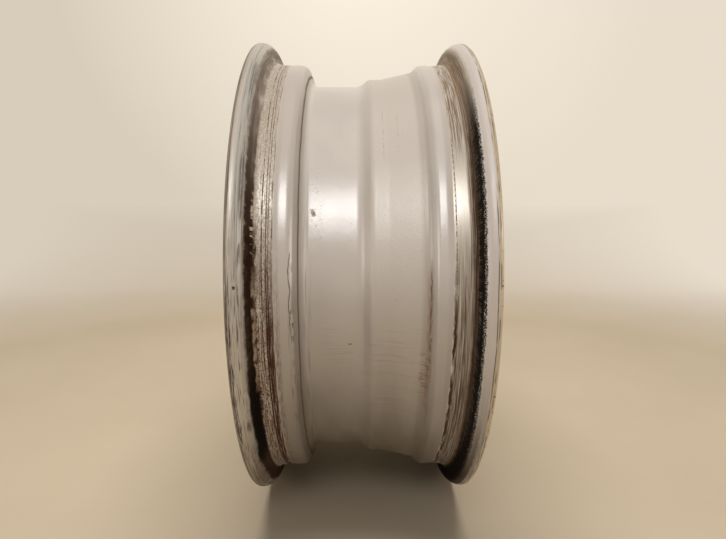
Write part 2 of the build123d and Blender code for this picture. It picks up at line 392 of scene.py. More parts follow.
@dataclass
class Barrel:
    """Flanges, bead seats, humps and drop centre, and the barrel's brake side.

    A flange bends with flange_curl, its edges are round with flange_tip, and flange_end is the
    height of its flat end. Distances of the shoulder, the well and the ledge run from the outer
    flange's face, those of the slope and the mouth from the inner one's. Depths are below the
    bead seats' radius. The corners of a crown are given from the hump's crest: along Y,
    outwards, and the fillet.
    """

    rim_width: float = 152.4
    seat_r: float = 190.1
    flange_height: float = 17.3
    flange_width: float = 13.0
    flange_curl: float = 9.5
    flange_tip: float = 3.0
    flange_end: float = 8.6
    seat_corner: float = 6.5
    seat_width: float = 15.7
    seat_angle: float = 5.0
    hump_foot: float = 3.0
    hump_crest: float = 21.5
    hump_drop: float = 0.6
    outer_crown: tuple[Corner, ...] = ((-2.3, -0.2, 12.0), (4.1, -0.5, 8.0))
    inner_crown: tuple[Corner, ...] = ((-4.0, -0.5, 5.0), (2.0, 0.0, 6.0))
    shoulder_distance: float = 28.9
    shoulder_depth: float = 3.1
    shoulder_fillet: float = 4.0
    well_distance: float = 34.3
    well_end: float = 74.4
    well_depth: float = 19.3
    well_fillets: Pair = (6.0, 12.0)
    ledge_distance: float = 83.2
    ledge_end: float = 93.7
    ledge_depth: float = 12.9
    ledge_fillets: Pair = (9.0, 20.0)
    slope_distance: float = 30.6
    slope_depth: float = 6.6
    slope_fillet: float = 5.0
    outer_scratches: tuple[float, ...] = (67.6, 64.9, 63.4)
    inner_scratches: tuple[float, ...] = (62.6,)
    scratch_width: float = 0.5
    scratch_depth: float = 0.16
    wall: float = 6.5
    mouth_distance: float = 5.2
    mouth_wall: float = 7.3
    mouth_fillet: float = 12.0
    back_ledge_y: float = 13.5
    back_fillet: float = 25.0
    spoke_fillet: float = 8.0

    @property
    def face_y(self) -> float:
        """Axial place of the inner flange's face."""
        return self.rim_width / 2

    @property
    def end_y(self) -> float:
        """Axial place of the inner flange's end."""
        return self.face_y + self.flange_width

    @property
    def flange_r(self) -> float:
        """Largest radius of the wheel."""
        return self.seat_r + self.flange_height

    @property
    def well_y(self) -> float:
        """Axial place of the foot of the steep wall, where the drop centre's bottom starts."""
        return self.well_distance - self.face_y

    @property
    def well_r(self) -> float:
        """Radius of the bottom of the drop centre."""
        return self.seat_r - self.well_depth

    @property
    def bore_r(self) -> float:
        """Radius of the barrel inside, behind the drop centre."""
        return self.well_r - self.wall

    def tyre_side(self) -> list[Corner]:
        """Lays out the contour from the outer flange's end to the inner one's.

        Returns:
            The contour's corners.
        """
        y, end, seat, flange = self.face_y, self.end_y, self.seat_r, self.flange_r
        foot_y = y - self.seat_width
        foot_r = seat - self.seat_width * tan(radians(self.seat_angle))
        crest_y, crest_r = y - self.hump_crest, seat - self.hump_drop
        ledge_r = seat - self.ledge_depth
        return [
            (-end, flange - self.flange_end, self.flange_tip),
            (-end, flange, self.flange_tip),
            (-y, flange, self.flange_curl),
            (-y, seat, self.seat_corner),
            *self.scratches(Side.OUTER, self.outer_scratches),
            (-foot_y, foot_r, self.hump_foot),
            *((-crest_y + run, crest_r + rise, fillet) for run, rise, fillet in self.outer_crown),
            (self.shoulder_distance - y, seat - self.shoulder_depth, self.shoulder_fillet),
            (self.well_y, self.well_r, self.well_fillets[0]),
            (self.well_end - y, self.well_r, self.well_fillets[1]),
            (self.ledge_distance - y, ledge_r, self.ledge_fillets[0]),
            (self.ledge_end - y, ledge_r, self.ledge_fillets[1]),
            (y - self.slope_distance, seat - self.slope_depth, self.slope_fillet),
            *((crest_y + run, crest_r + rise, fillet) for run, rise, fillet in self.inner_crown),
            (foot_y, foot_r, self.hump_foot),
            *self.scratches(Side.INNER, self.inner_scratches),
            (y, seat, self.seat_corner),
            (y, flange, self.flange_curl),
            (end, flange, self.flange_tip),
            (end, flange - self.flange_end, self.flange_tip),
        ]

    def scratches(self, side: Side, places: tuple[float, ...]) -> list[Corner]:
        """Thin rings that fitting tyres has scratched into a bead seat.

        Args:
            side: which seat.
            places: how far each lies from the wheel's middle, in the outline's order.

        Returns:
            Three corners for each ring.
        """
        half, depth = self.scratch_width / 2, self.scratch_depth
        slope = tan(radians(self.seat_angle))
        corners: list[Corner] = []
        for place in places:
            r = self.seat_r - (self.face_y - place) * slope
            y = side.value * place
            lean = side.value * half * slope
            corners += [(y - half, r - lean, 0.0), (y, r - depth, 0.0), (y + half, r + lean, 0.0)]
        return corners

    def brake_side(self, spoke_back_y: float) -> list[Corner]:
        """Lays out the contour from the inner flange back to the spokes.

        Args:
            spoke_back_y: axial place of the spokes' backs.

        Returns:
            The contour's corners.
        """
        return [
            (self.face_y - self.mouth_distance, self.seat_r - self.mouth_wall, self.mouth_fillet),
            (self.back_ledge_y, self.seat_r - (self.ledge_depth + self.wall), self.back_fillet),
            (self.well_end - self.face_y, self.bore_r, self.back_fillet),
            (spoke_back_y, self.bore_r, self.spoke_fillet),
        ]


@dataclass
class StyledFace:
    """The flat outer face with its lip, the spokes and the windows between them.

    crown is the radius of the spokes' front edges. window_steps are the steps of half a window's
    outline: along its rim, round its outer corner, along a spoke, round its inner corner and
    along the hub. The pocket is the hollow in the back of a spoke. Its start and end are radii,
    its wall and skin are the metal left beside it and in front of it, and its mouth and foot are
    fillets.
    """

    barrel: Barrel
    lip_step: float = 5.6
    lip_width: float = 14.4
    spokes: int = 5
    first_spoke: float = 90.0
    width_at_hub: float = 50.0
    width_at_rim: float = 37.0
    draft: float = 6.0
    crown: float = 5.0
    crown_steps: int = 6
    window_ring: float = 13.0
    inner_corner: float = 11.0
    outer_corner: float = 19.0
    window_steps: tuple[int, int, int, int, int] = (14, 10, 8, 9, 6)
    hub_r: float = 81.0
    back_y: float = -53.0
    pocket_start: float = 97.0
    pocket_end: float = 150.0
    pocket_wall: float = 8.0
    pocket_skin: float = 10.0
    pocket_corner: float = 7.0
    pocket_mouth: float = 2.0
    pocket_foot: float = 3.0
    pocket_steps: int = 4
    pocket_past: float = 12.0

    @property
    def front_y(self) -> float:
        """Axial place of the flat face."""
        return self.lip_step - self.barrel.end_y

    @property
    def window_r(self) -> float:
        """Radius of the windows' outer edge, at the face."""
        return self.barrel.seat_r - self.window_ring

    def half_width(self, r: float, y: float) -> float:
        """Half the width of a spoke.

        Args:
            r: distance from the wheel's axis.
            y: axial place.

        Returns:
            Half the width there, which grows with the draft towards the back.
        """
        share = (r - self.hub_r) / (self.window_r - self.hub_r)
        width = self.width_at_hub + share * (self.width_at_rim - self.width_at_hub)
        return width / 2 + (y - self.front_y) * tan(radians(self.draft))

    def window_outline(self, y: float, outer_r: float, margin: float) -> list[Point]:
        """Outline of the window centred on +X.

        Args:
            y: axial place of the section.
            outer_r: radius of the outer edge, before the margin.
            margin: how far the outline is grown.

        Returns:
            Its points, the same number at every place.
        """
        lean = radians(180 / self.spokes)
        near = self.half_width(0, y) - margin
        slope = self.half_width(1, y) - self.half_width(0, y)
        side = Vector((sin(lean), -cos(lean)))
        start = side * near
        along = (Vector((cos(lean), sin(lean))) + side * slope).normalized()
        inward = Vector((along.y, -along.x))
        hub = self.hub_r + (y - self.front_y) * tan(radians(self.draft)) - margin
        rim = outer_r + margin

        def corner(radius: float, reach: float) -> Vector:
            """Finds the centre of a corner's arc, beside the spoke's flank.

            Args:
                radius: radius of the arc.
                reach: the centre's distance from the wheel's axis.

            Returns:
                The centre.
            """
            base = start + inward * radius
            b = base.dot(along)
            return base + along * (-b + sqrt(b * b - base.length_squared + reach * reach))

        outer_radius = self.outer_corner + margin
        inner_radius = self.inner_corner + margin
        outer = corner(outer_radius, rim - outer_radius)
        inner = corner(inner_radius, hub + inner_radius)
        outer_turn = atan2(outer.y, outer.x)
        inner_turn = atan2(inner.y, inner.x)
        flank = atan2(-inward.y, -inward.x)
        here = outer - inward * outer_radius
        there = inner - inward * inner_radius
        rim_steps, outer_steps, flank_steps, inner_steps, hub_steps = self.window_steps
        half = [(rim, 0.0)]
        half += arc((0, 0), rim, 0, outer_turn, rim_steps)
        half += arc(tuple(outer), outer_radius, outer_turn, flank, outer_steps)
        half += [tuple(here.lerp(there, s / flank_steps)) for s in range(1, flank_steps + 1)]
        half += arc(tuple(inner), inner_radius, flank, inner_turn + pi, inner_steps)
        half += arc((0, 0), hub, inner_turn, 0, hub_steps)
        return half + [(x, -z) for x, z in reversed(half[1:-1])]

    def window(self) -> BMesh:
        """Makes the space of the window on +X, with its crowned edge and drafted walls.

        Returns:
            A closed mesh, which runs from before the face to past the drop centre's wall.
        """
        barrel, front = self.barrel, self.front_y
        past_y = barrel.well_y + barrel.wall
        slope = (self.window_r - barrel.bore_r) / (barrel.well_y - front)
        sections = [(front - self.lip_step, self.window_outline(front, self.window_r, self.crown))]
        for gone, left in quarter(self.crown_steps):
            y = front + self.crown * gone
            outer_r = self.window_r - self.crown * gone * slope
            sections.append((y, self.window_outline(y, outer_r, self.crown * left)))
        sections.append((past_y, self.window_outline(past_y, barrel.bore_r - barrel.wall * slope, 0.0)))
        return lofted(sections)

    def pocket(self) -> BMesh:
        """Makes the hollow in the back of the spoke on +X, its mouth rounded.

        Returns:
            A closed mesh, which runs from past the spoke's back to the skin behind the face.
        """
        start, end, back, mouth = self.pocket_start, self.pocket_end, self.back_y, self.pocket_mouth
        near = self.half_width(start, back) - self.pocket_wall
        far = self.half_width(end, back) - self.pocket_wall
        corners = [(start, -near), (end, -far), (end, far), (start, near)]
        radius, steps = self.pocket_corner, self.pocket_steps
        sections = [(back + self.pocket_past, rounded_box(corners, radius, -mouth))]
        for gone, left in quarter(steps):
            sections.append((back - mouth * gone, rounded_box(corners, radius, -mouth * left)))
        ends = (back, self.front_y + self.pocket_skin)
        return lofted(sections + hollow_floor(corners, radius, ends, self.pocket_foot, self.draft, steps))


@dataclass
class Hub:
    """Hub with its mounting face, bore, cap seat, dish, bolt holes and reliefs.

    The pad is the mounting face. A bolt's web is the metal between the pad and the rim of the
    bolt's 60 degree seat, and its well is the round space in front of that seat. A relief is the
    shallow hollow in the pad between two bolts. The third number of a corner is its fillet.
    """

    face: StyledFace
    offset: float = 47.0
    bore_r: float = 28.55
    bore_chamfer: float = 1.5
    pad_r: float = 75.0
    pad_slope: float = 4.0
    dish_depth: float = 7.5
    dish_r: float = 72.0
    dish_slope: float = 3.0
    cap_r: float = 32.5
    cap_depth: float = 8.0
    cap_edge: float = 0.5
    ring_wall: float = 6.0
    ring_height: float = 4.0
    bolts: int = 5
    bolt_circle_r: float = 56.0
    bolt_hole_r: float = 7.5
    bolt_seat_r: float = 12.0
    bolt_seat_depth: float = 7.794
    bolt_well_r: float = 13.5
    bolt_web: float = 13.0
    bolt_edge: float = 0.8
    bolt_start_y: float = -95.0
    bolt_past: float = 8.0
    bolt_segments: int = 64
    relief_margin: float = 10.0
    relief_width: float = 30.0
    relief_depth: float = 7.0
    relief_corner: float = 6.0
    relief_foot: float = 2.0
    relief_draft: float = 6.0
    relief_steps: int = 3
    relief_past: float = 5.0

    def section(self) -> list[Corner]:
        """Lays out the contour from the spokes' backs over mounting face and bore to the lip.

        Returns:
            The contour's corners.
        """
        pad, front, bore = -self.offset, self.face.front_y, self.bore_r
        dish = front + self.dish_depth
        ring = dish - self.ring_height
        ring_r = self.cap_r + self.ring_wall
        cap_floor = ring + self.cap_depth
        lip_foot = self.face.barrel.flange_r - self.face.lip_width
        return [
            (self.face.back_y, self.pad_r + self.pad_slope, 2.0),
            (pad, self.pad_r, 0.6),
            (pad, bore + self.bore_chamfer, 0),
            (pad - self.bore_chamfer, bore, 0),
            (cap_floor - self.cap_edge, bore, 0),
            (cap_floor, bore + self.cap_edge, 0),
            (cap_floor, self.cap_r, 0.4),
            (ring, self.cap_r, 0.5),
            (ring, ring_r, 0.8),
            (dish, ring_r, 1.5),
            (dish, self.dish_r - self.dish_slope, 3.0),
            (front, self.dish_r, 2.0),
            (front, lip_foot, 4.0),
        ]

    def bolt(self) -> BMesh:
        """Makes the well, cone seat and hole of the bolt on +X, with their edges broken.

        Returns:
            A closed mesh, which runs from before the dish to past the mounting face.
        """
        pad, edge, well_r, hole_r = -self.offset, self.bolt_edge, self.bolt_well_r, self.bolt_hole_r
        seat_y = pad - self.bolt_web
        dish = self.face.front_y + self.dish_depth
        outline = [
            (self.bolt_start_y, 0.0),
            (self.bolt_start_y, well_r + edge),
            (dish, well_r + edge),
            (dish + edge, well_r),
            (seat_y, well_r),
            (seat_y, self.bolt_seat_r),
            (seat_y + self.bolt_seat_depth, hole_r),
            (pad - edge, hole_r),
            (pad, hole_r + edge),
            (pad + self.bolt_past, hole_r + edge),
            (pad + self.bolt_past, 0.0),
        ]
        mesh = turned(outline, self.bolt_segments, closed=False)
        mesh.transform(Matrix.Translation((self.bolt_circle_r * MM, 0, 0)))
        return mesh

    def relief(self) -> BMesh:
        """Makes the hollow in the mounting face on +X.

        Returns:
            A closed mesh, which runs from past the mounting face to the hollow's floor.
        """
        inner, outer = self.bore_r + self.relief_margin, self.pad_r - self.relief_margin
        half, pad, edge, radius = self.relief_width / 2, -self.offset, self.bolt_edge, self.relief_corner
        corners = [(inner, -half), (outer, -half), (outer, half), (inner, half)]
        mouth = ((pad + self.relief_past, -edge), (pad, -edge), (pad - edge, 0.0))
        sections = [(y, rounded_box(corners, radius, inset)) for y, inset in mouth]
        ends, foot, draft = (pad, pad - self.relief_depth), self.relief_foot, self.relief_draft
        return lofted(sections + hollow_floor(corners, radius, ends, foot, draft, self.relief_steps))


@dataclass
class ValveHole:
    """The valve's hole through the steep wall of the drop centre.

    The hole is made along its own axis, which passes the middle of the steep wall, leans by tilt
    from the wheel's and lies at angle about it, both in degrees. wall is the metal left between
    that middle and the flat seat of the valve, and reach is how far the hole goes the other way.
    """

    barrel: Barrel
    hole_r: float = 5.65
    seat_r: float = 10.0
    wall: float = 5.0
    edge: float = 0.5
    reach: float = 17.3
    past: float = 30.0
    tilt: float = 25.0
    angle: float = 198.0
    segments: int = 48

    def cutter(self) -> BMesh:
        """Makes the hole and its round seat, at their place on the wheel.

        Returns:
            A closed mesh, which runs from the tyre's side to past the face's side.
        """
        outline = [
            (-self.reach, 0.0),
            (-self.reach, self.hole_r),
            (self.wall - self.edge, self.hole_r),
            (self.wall, self.hole_r + self.edge),
            (self.wall, self.seat_r),
            (self.wall + self.past, self.seat_r),
            (self.wall + self.past, 0.0),
        ]
        mesh = turned(outline, self.segments, closed=False)
        barrel = self.barrel
        middle_r = (barrel.well_r + barrel.seat_r - barrel.shoulder_depth) / 2
        middle_y = (barrel.shoulder_distance + barrel.well_distance) / 2 - barrel.face_y
        tilt = radians(self.tilt)
        axis = Vector((-sin(tilt), -cos(tilt), 0))
        mesh.transform(Vector((0, 1, 0)).rotation_difference(axis).to_matrix().to_4x4())
        mesh.transform(Matrix.Translation((middle_r * MM, middle_y * MM, 0)))
        return around(mesh, 1, self.angle)[0]


class Zone(Enum):
    """The wheel's surfaces that are finished apart. The value is the material slot."""

    TYRE_SIDE = 0
    OUTER_SEAT = 1
    INNER_SEAT = 2
    STYLED = 3
    BRAKE_SIDE = 4
    MACHINED = 5


@dataclass
class Wheel:
    """The whole casting.

    segments is how often the contour is repeated round the axis, longest_run its longest line,
    and sharp_edge the angle in degrees from which an edge stays crisp. Points nearer than weld
    are joined. The bands and slack widen the places by which zone sorts the faces, and flat to
    drafted are shares of a normal, from a face that looks squarely one way to one that hardly
    leans that way.
    """

    barrel: Barrel
    face: StyledFace
    hub: Hub
    valve: ValveHole
    segments: int = 240
    longest_run: float = 9.0
    lathe_lines: tuple[LatheLines, ...] = (
        LatheLines(-88.0, -76.1, seed=1),
        LatheLines(76.1, 88.6, seed=2, pitch=1.1, depth=0.03),
    )
    sharp_edge: float = 32.0
    normal_weight: int = 80
    weld: float = 0.01
    seat_band: float = 3.0
    well_band: float = 0.5
    slack: float = 0.1
    spoke_root_r: float = 100.0
    flat: float = 0.9
    facing: float = 0.5
    leaning: float = 0.2
    grazing: float = 0.1
    drafted: float = 0.04

    def zone(self, centre: Vector, normal: Vector) -> Zone:
        """Says which surface a face of the mesh belongs to.

        Args:
            centre: the face's middle, in metres.
            normal: its normal.

        Returns:
            The zone.
        """
        x, y, z = (v / MM for v in centre)
        r = hypot(x, z)
        # How squarely the face looks away from the axis and towards the car; below 0, the other way
        outwards, back = (normal.x * x + normal.z * z) / max(r, self.weld), normal.y
        barrel, hub, front = self.barrel, self.hub, self.face.front_y
        if abs(y) > barrel.face_y - barrel.seat_width and r > barrel.seat_r - self.seat_band:
            if y < front and outwards < self.facing:
                return Zone.STYLED
            if y > 0 and outwards < -self.leaning:
                return Zone.BRAKE_SIDE
            return Zone.OUTER_SEAT if y < 0 else Zone.INNER_SEAT
        if r > barrel.well_r - self.well_band and outwards > self.leaning:
            return Zone.TYRE_SIDE
        on_pad = y > -hub.offset - self.slack and r < hub.pad_r + self.slack and back > self.flat
        in_bore = r < hub.bore_r + hub.bore_chamfer + hub.cap_edge
        in_cap_seat = r < hub.cap_r + hub.cap_edge + self.slack and y > front
        angles = (radians(self.face.first_spoke + 360 * k / hub.bolts) for k in range(hub.bolts))
        bolt_r = hub.bolt_circle_r
        from_bolt = min(hypot(x - bolt_r * cos(a), z - bolt_r * sin(a)) for a in angles)
        in_bolt = from_bolt < hub.bolt_well_r + hub.bolt_edge + self.slack
        if on_pad or in_bore or in_cap_seat or (in_bolt and y > front + hub.dish_depth + self.weld):
            return Zone.MACHINED
        inside_barrel = outwards < -self.facing and back > -self.grazing and r > self.spoke_root_r
        return Zone.BRAKE_SIDE if back > self.drafted or inside_barrel else Zone.STYLED

    def build(self) -> Object:
        """Makes the wheel's mesh.

        Returns:
            The wheel, with a material slot number on each face.
        """
        outline = self.barrel.tyre_side() + self.barrel.brake_side(self.face.back_y) + self.hub.section()
        points = rounded(outline)
        for line in self.lathe_lines:
            points = scored(points, line)
        points = divided(points, self.longest_run)
        body = to_object("wheel_casting", [turned(points, self.segments)])
        between = 180 / self.face.spokes
        first = self.face.first_spoke
        cutters = around(self.face.window(), self.face.spokes, first + between)
        cutters += around(self.face.pocket(), self.face.spokes, first)
        cutters += around(self.hub.bolt(), self.hub.bolts, first)
        cutters += around(self.hub.relief(), self.hub.bolts, first + between)
        cut(body, cutters)
        cut(body, [self.valve.cutter()])
        self.finish_mesh(body)
        return body

    def finish_mesh(self, body: Object) -> None:
        """Cleans the mesh, sorts its faces into zones and smooths what is round.

        Args:
            body: the wheel with its holes cut.
        """
        mesh = bmesh.new()
        mesh.from_mesh(body.data)
        bmesh.ops.remove_doubles(mesh, verts=mesh.verts, dist=self.weld * MM)
        bmesh.ops.dissolve_degenerate(mesh, edges=mesh.edges, dist=self.weld * MM)
        for face in mesh.faces:
            face.smooth = True
            face.material_index = self.zone(face.calc_center_median(), face.normal).value
        for edge in mesh.edges:
            edge.smooth = len(edge.link_faces) == 2 and degrees(edge.calc_face_angle(0)) < self.sharp_edge
        mesh.to_mesh(body.data)
        mesh.free()
        weights = body.modifiers.new("weights", "WEIGHTED_NORMAL")
        weights.keep_sharp = True
        weights.weight = self.normal_weight


# Finishes


def linear(code: str) -> tuple[float, float, float, float]:
    """Turns an sRGB hex colour into the linear values that a shader takes.

    Args:
        code: six hex digits.

    Returns:
        Red, green, blue and 1.
    """
    parts = [int(code[k : k + 2], 16) / 255 for k in (0, 2, 4)]
    return (*(p / 12.92 if p <= 0.04045 else ((p + 0.055) / 1.055) ** 2.4 for p in parts), 1.0)


def node(tree: NodeTree, kind: str, inputs: Inputs | None = None, **settings: object) -> Node:
    """Adds a node to a material.

    Args:
        tree: the material's nodes.
        kind: Blender's name of the node's type.
        inputs: a number, a colour or the socket that feeds it, for each input.
        settings: the node's own settings.

    Returns:
        The new node.
    """
    made = tree.nodes.new(kind)
    for name, value in settings.items():
        setattr(made, name, value)
    for key, value in (inputs or {}).items():
        if isinstance(value, NodeSocket):
            tree.links.new(value, made.inputs[key])
        else:
            made.inputs[key].default_value = value
    return made


@dataclass(frozen=True)
class Mark:
    """A layer of dirt, wear, colour or painted shade on a finish, kept to a part of the wheel.

    strength is how much of the finish it covers at most, and height how far it stands up, in mm.
    axial is its range along Y in mm, and soft the width of that range's edges. around is its
    middle angle, half its spread and its edges' width, in degrees from +X towards +Z. grain is
    the size of its pattern along the contour and around the wheel in mm, and levels are the two
    values of the pattern between which it comes in. wander is how far its axial edges sway to
    and fro, in waves of wander_mm around the wheel, and its seed sets its pattern apart.
    """

    colour: str
    strength: float
    axial: Pair = (-PAST_ENDS, PAST_ENDS)
    soft: float = 1.0
    around: tuple[float, float, float] | None = None
    grain: Pair = (8.0, 8.0)
    levels: Pair = (0.4, 0.6)
    roughness: float = 0.6
    metallic: float = 0.0
    height: float = 0.0
    wander: float = 0.0
    wander_mm: float = 25.0
    seed: float = 0.0


@dataclass
class Place:
    """Where a point of the surface lies on the wheel in mm, as shader sockets.

    axial is its place along Y, radial the direction in which it lies from the axis, reach its Y
    and its radius added, which grows up a wall as well as along a seat, and point the place
    itself.
    """

    tree: NodeTree
    axial: NodeSocket = field(init=False)
    radial: NodeSocket = field(init=False)
    reach: NodeSocket = field(init=False)
    point: NodeSocket = field(init=False)

    def __post_init__(self) -> None:
        """Works out the place from the object's own coordinates."""
        tree = self.tree
        local = node(tree, "ShaderNodeTexCoord").outputs["Object"]
        scaled = node(tree, VECTOR, {0: local, "Scale": 1 / MM}, operation="SCALE").outputs[0]
        parts = node(tree, "ShaderNodeSeparateXYZ", {0: scaled})
        flat = node(tree, VECTOR, {0: scaled, 1: (1, 0, 1)}, operation="MULTIPLY").outputs[0]
        self.point = scaled
        self.axial = parts.outputs["Y"]
        self.radial = node(tree, VECTOR, {0: flat}, operation="NORMALIZE").outputs[0]
        radius = node(tree, VECTOR, {0: flat}, operation="LENGTH").outputs["Value"]
        self.reach = node(tree, MATH, {0: self.axial, 1: radius}, operation="ADD").outputs[0]

    def pattern(self, grain: Pair, seed: float, detail: float = 3.0) -> NodeSocket:
        """Cloudy noise drawn out along or around the wheel.

        Args:
            grain: its size along the contour and around the wheel, in mm.
            seed: moves the noise, so that two layers differ.
            detail: how many finer layers it has.

        Returns:
            A value of about 0.5, nearly always within NOISE_SPAN.
        """
        tree, turns = self.tree, MEAN_R / grain[1]
        step_x, step_y, step_z = (step * seed for step in SEED_STEP)
        moved = {0: self.reach, 1: 1 / grain[0], 2: step_y}
        along = node(tree, MATH, moved, operation="MULTIPLY_ADD").outputs[0]
        shift = node(tree, "ShaderNodeCombineXYZ", {"X": step_x, "Y": along, "Z": step_z}).outputs[0]
        ring = {0: self.radial, 1: (turns, turns, turns), 2: shift}
        place = node(tree, VECTOR, ring, operation="MULTIPLY_ADD").outputs[0]
        return node(tree, NOISE, {"Vector": place, "Scale": 1.0, "Detail": detail}).outputs["Fac"]

    def mask(self, mark: Mark) -> NodeSocket:
        """How far a mark covers each point.

        Args:
            mark: the layer.

        Returns:
            From 0, not there, to the mark's strength.
        """
        tree = self.tree
        noise = self.pattern(mark.grain, mark.seed)
        low, high = mark.levels
        cover = node(tree, RANGE, {0: noise, 1: low, 2: high, 3: 0.0, 4: mark.strength}).outputs[0]
        axial = self.axial
        if mark.wander:
            slow = self.pattern((SWAY_MM, mark.wander_mm), mark.seed + SWAY_SEED)
            sway = {0: slow, 1: NOISE_SPAN[0], 2: NOISE_SPAN[1], 3: -mark.wander, 4: mark.wander}
            moved = {0: axial, 1: node(tree, RANGE, sway).outputs[0]}
            axial = node(tree, MATH, moved, operation="ADD").outputs[0]
        limits = [
            {0: axial, 1: edge - mark.soft, 2: edge + mark.soft, 3: before, 4: after}
            for edge, before, after in zip(mark.axial, (0.0, 1.0), (1.0, 0.0))
            if abs(edge) < PAST_ENDS
        ]
        if mark.around:
            middle, half, soft = (radians(v) for v in mark.around)
            aim = {0: self.radial, 1: (cos(middle), 0.0, sin(middle))}
            near = node(tree, VECTOR, aim, operation="DOT_PRODUCT").outputs["Value"]
            limits.append({0: near, 1: cos(min(half + soft, pi)), 2: cos(max(half - soft, 0.0))})
        for limit in limits:
            part = node(tree, RANGE, limit).outputs[0]
            cover = node(tree, MATH, {0: cover, 1: part}, operation="MULTIPLY").outputs[0]
        return cover


@dataclass(frozen=True)
class Finish:
    """A finish of cast aluminium, with the marks of use, and in places painted shade, on it.

    grain and wave are the skin's fine and slow unevenness, each with its size and its height. A
    cast skin's grain is about half a millimetre, too fine to show, so it is drawn twice as
    coarse. cloud is the size of light and dark patches along the contour and around the wheel,
    which differ by tint. From the first roughness of dulling to the second, the shine falls from
    the first value of mirroring to the second.
    """

    name: str
    colour: str
    metallic: float
    roughness: float
    marks: tuple[Mark, ...] = ()
    coat: float = 0.0
    coat_roughness: float = 0.2
    grain_mm: float = 1.1
    grain_height: float = 0.045
    wave_mm: float = 9.0
    wave_height: float = 0.12
    cloud_mm: Pair = (45.0, 60.0)
    cloud_seed: float = 11.0
    tint: float = 0.06
    dulling: Pair = (0.5, 0.8)
    mirroring: Pair = (0.5, 0.08)

    def material(self) -> Material:
        """Builds the finish.

        Returns:
            The material.
        """
        made = bpy.data.materials.new(self.name)
        made.use_nodes = True
        tree = made.node_tree
        tree.nodes.clear()
        place = Place(tree)
        cloud = place.pattern(self.cloud_mm, self.cloud_seed)
        shade = {0: cloud, 1: NOISE_SPAN[0], 2: NOISE_SPAN[1], 3: 1 - self.tint, 4: 1 + self.tint}
        tone = {0: linear(self.colour)[:3], "Scale": node(tree, RANGE, shade).outputs[0]}
        colour = node(tree, VECTOR, tone, operation="SCALE").outputs[0]
        rough: Value = self.roughness
        metal: Value = self.metallic
        grain, wave = (
            node(tree, NOISE, {"Vector": place.point, "Scale": 1 / size, "Detail": detail}).outputs[0]
            for size, detail in ((self.grain_mm, 2.0), (self.wave_mm, 1.0))
        )
        waves = node(tree, MATH, {0: wave, 1: self.wave_height}, operation="MULTIPLY").outputs[0]
        grains = {0: grain, 1: self.grain_height, 2: waves}
        height = node(tree, MATH, grains, operation="MULTIPLY_ADD").outputs[0]
        for mark in self.marks:
            mask = place.mask(mark)
            blend = {0: mask, 6: colour, 7: linear(mark.colour)}
            colour = node(tree, MIX, blend, data_type="RGBA").outputs[2]
            rough = node(tree, MIX, {0: mask, 2: rough, 3: mark.roughness}).outputs[0]
            metal = node(tree, MIX, {0: mask, 2: metal, 3: mark.metallic}).outputs[0]
            if mark.height:
                raised = {0: mask, 1: mark.height, 2: height}
                height = node(tree, MATH, raised, operation="MULTIPLY_ADD").outputs[0]
        bump = node(tree, "ShaderNodeBump", {"Height": height, "Distance": MM, "Strength": 1.0}).outputs[0]
        # Rough dirt and rubber mirror far less than paint and metal do
        (smooth, dull), (full, faint) = self.dulling, self.mirroring
        shine = node(tree, RANGE, {0: rough, 1: smooth, 2: dull, 3: full, 4: faint}).outputs[0]
        skin = {"Base Color": colour, "Roughness": rough, "Metallic": metal, "Normal": bump}
        skin["Specular IOR Level"] = shine
        if self.coat:
            skin |= {"Coat Weight": self.coat, "Coat Roughness": self.coat_roughness}
        shader = node(tree, "ShaderNodeBsdfPrincipled", skin).outputs[0]
        node(tree, "ShaderNodeOutputMaterial", {"Surface": shader})
        return made


